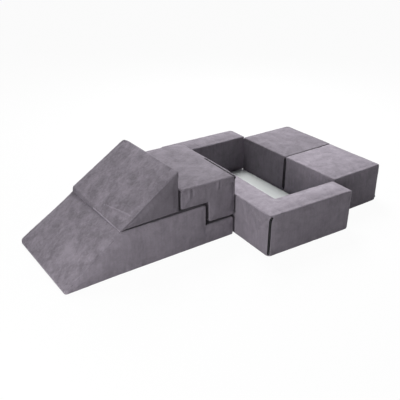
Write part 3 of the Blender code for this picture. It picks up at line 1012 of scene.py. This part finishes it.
def lipProfile(side, agape):
    at, radius, rise = zipSizes["lipAt"] + agape, zipSizes["lipRadius"], zipSizes["lipRise"]
    turns = [math.tau * k / zipSizes["lipSides"] for k in range(zipSizes["lipSides"])]
    return [(side * at + radius * math.cos(turn), rise + radius * math.sin(turn)) for turn in turns]


def makeZip(block, tree):
    frames = zipFrames(block, tree)
    agape = block.get("agape", 0)  # how far each turned edge stands back
    half, top, under = zipSizes["tapeHalf"] + agape, zipSizes["tapeTop"], zipSizes["tapeUnder"]
    upper = [(half * k / 4, top) for k in range(4, -5, -1)]
    tape = joinedMesh("tape", [wrapped(frames, tree, [(a, under) for a, b in upper[::-1]] + upper)])
    blockPiece(block, "_zip_woven_tape", tape, paints["tape"], "_zip_tape")
    lips = joinedMesh("lips", [wrapped(frames, tree, lipProfile(side, agape)) for side in (-1, 1)])
    # painted highlight: the turned edges beside the zip are drawn lighter, as light catching them
    paint = velourPaint(block, "LipVelour", 9, zipSizes["lipHighlight"])
    blockPiece(block, "_zip_turned_edges", lips, paint)
    blockPiece(block, "_zip_teeth", teethMesh(frames), paints["teeth"], "_zip_coil")


def teethMesh(fine):
    # two rows of rounded teeth that reach past each other
    skin = bmesh.new()
    lengths = [0.0]
    for (a, _, _), (b, _, _) in zip(fine, fine[1:]):
        lengths.append(lengths[-1] + (b - a).length)
    pitch = zipSizes["toothPitch"]
    count = int(lengths[-1] / pitch)
    place = 0
    for k in range(2 * count):
        at = (k + 0.5) * pitch / 2
        while lengths[place + 1] < at:
            place += 1
        share = (at - lengths[place]) / (lengths[place + 1] - lengths[place])
        (p, out, along), (q, nextOut, nextAlong) = fine[place], fine[place + 1]
        out = out.lerp(nextOut, share).normalized()
        side = 1 if k % 2 else -1
        addTooth(skin, p.lerp(q, share), out, along, out.cross(along) * side)
    return meshOf(skin, "teeth")


def addTooth(skin, point, out, along, across):
    half, low, top = (zipSizes[key] for key in ("toothHalf", "toothLow", "toothTop"))
    crown = half * zipSizes["toothCrown"]
    ends = [-zipSizes["toothMeet"]] * 2 + [zipSizes["toothReach"]] * 2
    loops = []
    for end, (further, inset) in zip(ends, zipSizes["toothTips"]):
        a, shoulder = end + further, top - zipSizes["toothRound"] - inset
        corners = [
            (-half, low), (half, low), (half, shoulder),
            (crown, top - inset), (-crown, top - inset), (-half, shoulder),
        ]
        spots = [point + across * a / 1000 + along * s / 1000 + out * h / 1000 for s, h in corners]
        loops.append([skin.verts.new(spot) for spot in spots])
    joinRows(skin, loops)
    skin.faces.new(loops[0][::-1])
    skin.faces.new(loops[-1])


def uprightEdgeZip(corner, centreWay, places):
    # up an upright rounded edge; places: (height, degrees turned from the edge's middle)
    centre = Vector((corner[0], corner[1], 0)) + Vector((*centreWay, 0)) * form["zipEdge"]
    run = []
    for height, turn in places:
        out = Matrix.Rotation(math.radians(turn), 3, "Z") @ -Vector((*centreWay, 0)).normalized()
        run.append((centre + out * form["zipEdge"] + Vector((0, 0, height)), out))
    return run


def backZip(start, end, level):
    # along the slide's hidden side
    return [(Vector((x, slideWidth, level)), Vector((0, 1, 0))) for x in (start, end)]


plainRun = [(0.012, 0), (0.288, 0)]
leaningRun = [(0.012, -4), (0.15, 0), (0.23, 1), (0.262, 4), (0.276, 16), (0.289, 40)]


# Foam cores

def makeFoam(block):
    core = {**block, "corners": block.get("foamCorners", block["corners"])}
    mesh, tree = remeshed(core, foam["inset"], foam["weave"])
    points = snapped(tree, pointsOf(mesh))
    points = points + tuckedIn(block, points) + recessed(block, points)
    setPoints(mesh, warped(block, roundedOff(block, points)))
    piece = blockPiece(block, "_foam_core", mesh, paints["foam"], "_foam")


def makeBlock(block):
    cover = makeCover(block)
    tree = BVHTree.FromObject(cover, bpy.context.evaluated_depsgraph_get())
    addSeams(block, tree)
    makeZip(block, tree)
    makeFoam(block)
    slider = nodes[block["name"] + "_zip_slider"]
    slider.data.materials.clear()
    slider.data.materials.append(paints["slider"])


# The ramp, its crest wedge and the step block

slideWidth = 0.71
edge = form["edge"]

toe = {"at": -1.277, "fade": 0.36, "front": 0.008, "back": 0.032}


def flaredToe(points):
    # the thin toe's cover spreads to both sides
    near = eased(fade(points[:, 0] - toe["at"], toe["fade"]))
    share = points[:, 1] / slideWidth
    spread = points.copy()
    spread[:, 1] += near * ((toe["front"] + toe["back"]) * share - toe["front"])
    return spread


ramp = {
    "name": "ramp", "turn": 2.5, "across": True, "deep": slideWidth,
    # painted light: the ramp's upright sides are drawn lighter
    "seed": 1, "nap": 0.5, "tone": 1.0, "sidePaintedLight": 1.18,
    "corners": [
        (-1.277, 0, 0.007), (0, 0, edge), (0, 0.15, 0.006),
        (-0.24, 0.15, 0), (-0.24, 0.3, 0.012), (-0.872, 0.3, 0.012), (-1.275, 0.021, 0.01),
    ],
    "endRadii": (0.009, 0.01), "reach": 0.07,
    "held": [0, 1, 2, 3, 4, 6], "crowns": {5: 0.005, -1: 0.003, -2: 0.002},
    "seamCorners": [0, 1, 5],
    "tip": (-1.22, -1.277),
    "rounded": [(-1.277, 1, 0.8, (0.034, 0.034))],
    "warp": flaredToe,
    "tucks": [
        ((0, 0, 0), (0, 0, 0.15), (-1, 1, 0), 0.014, 0.003),
        ((-1.27, 0, 0.01), (-0.872, 0, 0.3), (0.42, 0.7, -0.56), 0.016, 0.002),
    ],
    "slots": [
        ((-0.24, 0, 0.15), (-0.24, 0, 0.3), (-1, 0, 0), 0.01),
        ((-0.24, 0, 0.15), (0, 0, 0.15), (0, 0, -1), 0.005),
        ((-0.86, 0, 0.3), (-0.24, 0, 0.3), (0, 0, -1), 0.004),
        ((0, 0, 0), (0, 0, 0.15), (-1, 0, 0), 0.017),
    ],
    "zipRun": backZip(-0.865, -0.265, 0.07),
}

tip = {
    "at": -0.423, "crest": 0.007, "high": 0.296, "thick": 0.036, "back": 0.7, "thin": 0.0015, "power": 1.5,
    "narrow": 0.01, "foot": 0.412, "slope": 0.692, "gap": 0.0004,
}


def underWedge(along):
    # the ramp's slope and top, as the wedge's underside meets them
    return np.minimum(0, (along + tip["foot"]) * tip["slope"])


def flatTip(points):
    # the tip stands thick at the back corner and lies flat at the front one
    along = np.clip(points[:, 0], tip["at"], tip["crest"])
    share = (tip["crest"] - along) / (tip["crest"] - tip["at"])
    low = underWedge(along)
    thickTop = tip["high"] + (tip["thick"] - tip["high"]) * share
    thinTop = tip["high"] + (low + tip["thin"] - tip["high"]) * share
    across = np.clip(points[:, 1] / slideWidth, 0, 1)
    top = thinTop + (thickTop - thinTop) * tip["back"] * across ** tip["power"]
    flat = points.copy()
    flat[:, 1] -= tip["narrow"] * across
    flat[:, 2] = low + (points[:, 2] - low) * (top - low) / (thickTop - low)
    return flat


crestWedge = {
    "name": "crest_wedge", "turn": 2.5, "across": True, "deep": slideWidth,
    # painted shade: the wedge's upright sides are drawn darker
    "seed": 2, "nap": 0.7, "tone": 1.0, "sidePaintedLight": 0.8,
    "corners": [(-0.423, -0.0045, 0.003), (0.007, 0, edge), (0.007, 0.296, 0.01), (-0.419, 0.0375, 0.022)],
    "foamCorners": [(-0.405, 0, 0.006), (0, 0, 0.012), (0, 0.296, 0.01)],
    "endRadii": (0.009, 0.01), "reach": 0.06,
    "held": [0, 1, 3], "crowns": {2: 0.004, -1: 0.003, -2: 0.002},
    "seamCorners": [1, 2],
    "tip": (-0.362, -0.423), "restsOn": lambda along: underWedge(along) + tip["gap"],
    "rounded": [(0.007, -1, 0.824, (0.012, 0.078))],
    "welts": [
        # welts: (profile, painted highlight, start, end, way out)
        ("edge", 1.45, (-0.423, 0.004, 0.001), (-0.423, 0.37, 0.006), (-0.7, 0, 0.7)),
        ("roll", 1.22, (-0.33, 0.016, 0.072), (-0.376, 0.3, 0.046), (-0.57, 0, 0.82)),
    ],
    "warp": flatTip,
    "tucks": [
        ((-0.412, 0, 0.008), (-0.07, 0, 0.243), (0.34, 0.7, -0.58), 0.014, 0.002),
    ],
    "slots": [
        ((-0.385, 0, 0), (0, 0, 0), (0, 0, 1), 0.008),
        ((0.007, 0, 0), (0.007, 0, 0.24), (-1, 0, 0), 0.006),
    ],
    "folds": [(2, (-0.327, 0.005, 0.075), (-0.377, 0.345, 0.05), 0.009, 0.0045)],
    "zipRun": backZip(-0.25, -0.03, 0.045),
}

stepZip = {
    "radius": 0.02, "top": 0.2997, "lean": 0.4, "start": (-0.01, 0.001, 0.014), "inFrom": 0.003,
    "back": 0.34, "steps": 8,
}


def stepZipRun():
    # up the right end's front edge, round the corner and back along its top, just in from the edge
    radius, lean = stepZip["radius"], stepZip["lean"]
    right, front, up = Vector((1, 0, 0)), Vector((0, -1, 0)), Vector((0, 0, 1))
    centre = Vector((-radius, radius, stepZip["top"] - radius))
    run = [(Vector(stepZip["start"]), (right * lean + front).normalized())]
    for k in range(stepZip["steps"] + 1):
        share = k / stepZip["steps"]
        angle = math.pi / 2 * share
        out = (right * lean * (1 - share) + front * math.cos(angle) + up * math.sin(angle)).normalized()
        run.append((centre + out * radius - right * stepZip["inFrom"], out))
    point, out = run[-1]
    return [*run, (point + Vector((0, stepZip["back"], 0)), out)]


stepBlock = {
    "name": "step_block", "turn": 0.6, "across": True, "deep": slideWidth,
    "seed": 3, "nap": 0.2, "tone": 0.98,
    "corners": [
        (-0.235, 0, 0.014), (0, 0, edge), (0, 0.2997, 0.02),
        (-0.447, 0.2997, 0.012), (-0.447, 0.15, edge), (-0.235, 0.15, 0),
    ],
    "endRadii": (0.012, 0.01), "reach": 0.06,
    "held": [0, 1, 3, 4, 5], "crowns": {2: 0.004, -1: 0.003, -2: 0.002},
    "seamCorners": [3],
    "tucks": [
        ((-0.447, 0, 0.3), (-0.447, 0.03, 0.3), (1, 0.6, -1), 0.05, 0.01),
        ((-0.447, 0, 0.3), (0, 0, 0.3), (0, 0.7, -0.7), 0.03, 0.004),
    ],
    "slots": [
        ((-0.447, 0, 0.15), (-0.235, 0, 0.15), (0, 0, 1), 0.01),
        ((-0.447, 0, 0.15), (-0.447, 0, 0.3), (1, 0, 0), 0.006),
        ((-0.235, 0, 0), (-0.235, 0, 0.15), (1, 0, 0), 0.01),
        ((-0.235, 0, 0), (0, 0, 0), (0, 0, 1), 0.01),
        ((0, 0, 0), (0, 0, 0.27), (-1, 0, 0), 0.014),
    ],
    "folds": [
        (-1, (-0.372, 0, 0.292), (-0.38, 0, 0.225), 0.008, 0.0048),
        (-1, (-0.35, 0, 0.294), (-0.352, 0, 0.24), 0.007, -0.0036),
        (-1, (-0.15, 0, 0.292), (-0.162, 0, 0.235), 0.007, 0.0048),
        (-1, (-0.132, 0, 0.294), (-0.14, 0, 0.25), 0.006, -0.0036),
        (-1, (-0.09, 0, 0.252), (-0.008, 0, 0.262), 0.007, -0.0045),
        (-1, (-0.085, 0, 0.238), (-0.008, 0, 0.245), 0.007, 0.004),
    ],
    "zipRun": stepZipRun(), "agape": 1.0,
}


# The two L-shaped bolsters

blockHeight, armLength, armWidth = 0.3, 0.71, 0.19
armStretch = {"from": 0.6, "over": 0.11}


def bolster(name, turn, seed, tone, zipPlaces, radii):
    # radii: of the near arm's outer corner, then of the far arm's inner and outer one
    near, inner, outer = radii
    return {
        "name": name, "turn": turn, "across": False, "deep": blockHeight,
        "seed": seed, "nap": 0.9, "tone": tone,
        "corners": [
            (0, 0, form["zipEdge"]), (armLength, 0, near), (armLength, armWidth, edge),
            (armWidth, armWidth, 0), (armWidth, armLength, inner), (0, armLength, outer),
        ],
        "endRadii": (0.006, 0.01), "reach": 0.07,
        "seamCorners": [1, 2, 4, 5],
        "zipRun": uprightEdgeZip((0, 0), (1, 1), zipPlaces),
    }


def longerArm(axis, more, lean):
    # an arm whose end reaches a little further, and leans out at the top
    def longer(points):
        moved = points.copy()
        reach = more + lean * np.clip(points[:, 2] / blockHeight, 0, 1)
        moved[:, axis] += reach * np.clip((points[:, axis] - armStretch["from"]) / armStretch["over"], 0, 1)
        return moved
    return longer


# the front bolster's tone is drawn lighter and the back one's darker: partly the covers' own nap, partly
# painted light falling off towards the back
frontBolster = {
    **bolster("front_bolster", 0.0, 4, 1.18, leaningRun, (0.02, edge, edge)),
    "held": [-1, 4, 5], "crowns": {0: 0.004, 1: 0.002, -2: 0.005, 2: -0.002, 3: -0.002},
    # painted light: the front bolster's top is drawn lighter
    "topPaintedLight": 1.29, "agape": 2.8,
    "folds": [
        (5, (0, 0.216, 0.276), (0, 0.073, 0.206), 0.011, 0.0075),
        (5, (0, 0.024, 0.268), (0, 0.096, 0.186), 0.01, 0.007),
        (5, (0, 0.165, 0.215), (0, 0.118, 0.08), 0.016, -0.006),
        (5, (0, 0.29, 0.27), (0, 0.25, 0.15), 0.013, 0.005),
        (0, (0.24, 0, 0.262), (0.42, 0, 0.276), 0.012, -0.003),
        (0, (0.56, 0, 0.12), (0.69, 0, 0.215), 0.018, 0.003),
    ],
    "warp": longerArm(0, 0.008, 0.009),
    "tucks": [
        ((armLength, 0, blockHeight), (armLength, armWidth, blockHeight), (-0.5, 0, -1), 0.05, 0.006),
    ],
}
backBolster = {
    **bolster("back_bolster", -88.5, 5, 0.85, plainRun, (edge, 0.005, 0.03)),
    "held": [-1, 0, 1], "crowns": {5: 0.004, 4: 0.002, -2: 0.005, 2: -0.002, 3: -0.002},
    "warp": longerArm(1, 0.009, 0),
}


# The two seat blocks and the tape that hinges them

hinge = {
    "rise": 0.299, "thick": 0.001, "half": 0.0085, "sag": 0.0025, "end": 0.02, "shift": -0.001,
    "steps": 60, "bend": 0.004, "gap": 0.0002,
    "opening": 0.03,  # rise to the metre that either top may have, so that they meet flat when folded
}
seatLength, seatWidth = 0.5, 0.518


def seat(name, seed, front, tone):
    wide, long = seatWidth, seatLength
    against, outer = (2, 0) if front else (0, 2)
    corner, way = ((long, 0), (-1, 1)) if front else ((long, wide), (-1, -1))
    corners = [(0, 0, edge), (long, 0, edge), (long, wide, edge), (0, wide, edge if front else 0.005)]
    corners[1 if front else 2] = (*corner, form["zipEdge"])
    divide = wide if front else 0
    slot = ((0, divide, 0.03), (0, divide, 0.278), (0, -1 if front else 1, 0), 0.01 if front else 0.016)
    droop = ((long, 0, blockHeight), (long, wide, blockHeight), (-0.6, 0, -1), 0.04, 0.005)
    return {
        "name": name, "turn": 2.5, "across": False, "deep": blockHeight,
        "seed": seed, "nap": 1.2, "tone": tone, "corners": corners,
        "endRadii": (0.006, 0.01), "reach": 0.18,
        "held": [-1, against], "crowns": {outer: 0.004, 1: 0.004, 3: -0.002, -2: 0.005},
        "seamCorners": [0, 2, 3] if front else [0, 1, 3],
        "tucks": [droop] if front else [],
        "slots": [slot],
        "foldsOn": lambda across: hinge["rise"] + hinge["gap"] + hinge["opening"] * np.abs(across - divide),
        "zipRun": uprightEdgeZip(corner, way, plainRun),
    }


# the seats' tones: the front one drawn lighter and the rear one darker, partly their covers' own nap, partly
# painted light
rearSeat = seat("rear_seat", 6, False, 0.84)
frontSeat = seat("front_seat", 7, True, 1.06)
# painted light: the front seat's top is drawn lighter
frontSeat["topPaintedLight"] = 1.17


def addHingeTape():
    # one strip from seat to seat
    place = rearSeat["place"]
    rings = []
    for x in np.linspace(hinge["end"], seatLength - hinge["end"], hinge["steps"]):
        upper, lower = [], []
        for k in range(9):
            y = hinge["half"] * (k / 4 - 1)
            z = hinge["rise"] - hinge["sag"] * math.cos(math.pi / 2 * y / hinge["half"])
            upper.append(Vector((x, y + hinge["shift"], z)))
            lower.append(Vector((x, y + hinge["shift"], z - hinge["thick"])))
        rings.append(upper + lower[::-1])
    mesh = joinedMesh("hinge", [swept(rings, False)])
    piece = newPiece("seat_hinge_tape", mesh, place, paints["tape"], None)
    bend = place.to_3x3() @ Vector((0, 1, 0)) * hinge["bend"]
    middle = place @ Vector((seatLength / 2, hinge["shift"], hinge["rise"]))
    middle + bend
    middle - bend
    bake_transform(piece)
    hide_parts("rear_seat_hinge_tape", "front_seat_hinge_tape")


# The pit's mat

mat = {"thick": 0.012, "corner": 0.025, "rim": 0.003, "reach": 0.0215, "skew": 0.0436, "most": 0.032}


def addMat():
    low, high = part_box("pit_mat")
    wide, long = high.x - low.x, high.y - low.y
    block = {
        "name": "pit_mat", "across": False, "deep": mat["thick"], "endRadii": (mat["rim"], mat["rim"]),
        "corners": [(x, y, mat["corner"]) for x, y in ((0, 0), (wide, 0), (wide, long), (0, long))],
    }
    mesh = blockForm(block, 0)
    points = pointsOf(mesh)
    # its right edge follows the seats, which stand a little askew to it
    beyond = np.clip(mat["reach"] - mat["skew"] * (points[:, 1] - long / 2), 0, mat["most"])
    points[:, 0] += np.clip(points[:, 0] / wide - 0.5, 0, 0.5) * 2 * beyond
    setPoints(mesh, points)
    piece = newPiece("pit_mat_pad", mesh, Matrix.Translation(low), paints["mat"], "mat")
    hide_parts("pit_mat")


paints = {
    "tape": trimPaint("blackTape", finish["tape"]),
    "teeth": trimPaint("blackTeeth", finish["teeth"]),
    "slider": trimPaint("blackSlider", finish["slider"]),
    "foam": trimPaint("cutFoam", finish["foam"]),
    "mat": matPaint("paleMat"),
}

addCamera()
addLight()
addFloor()
for block in (ramp, crestWedge, stepBlock, frontBolster, backBolster, rearSeat, frontSeat):
    makeBlock(block)
addHingeTape()
addMat()
print("pieces made")
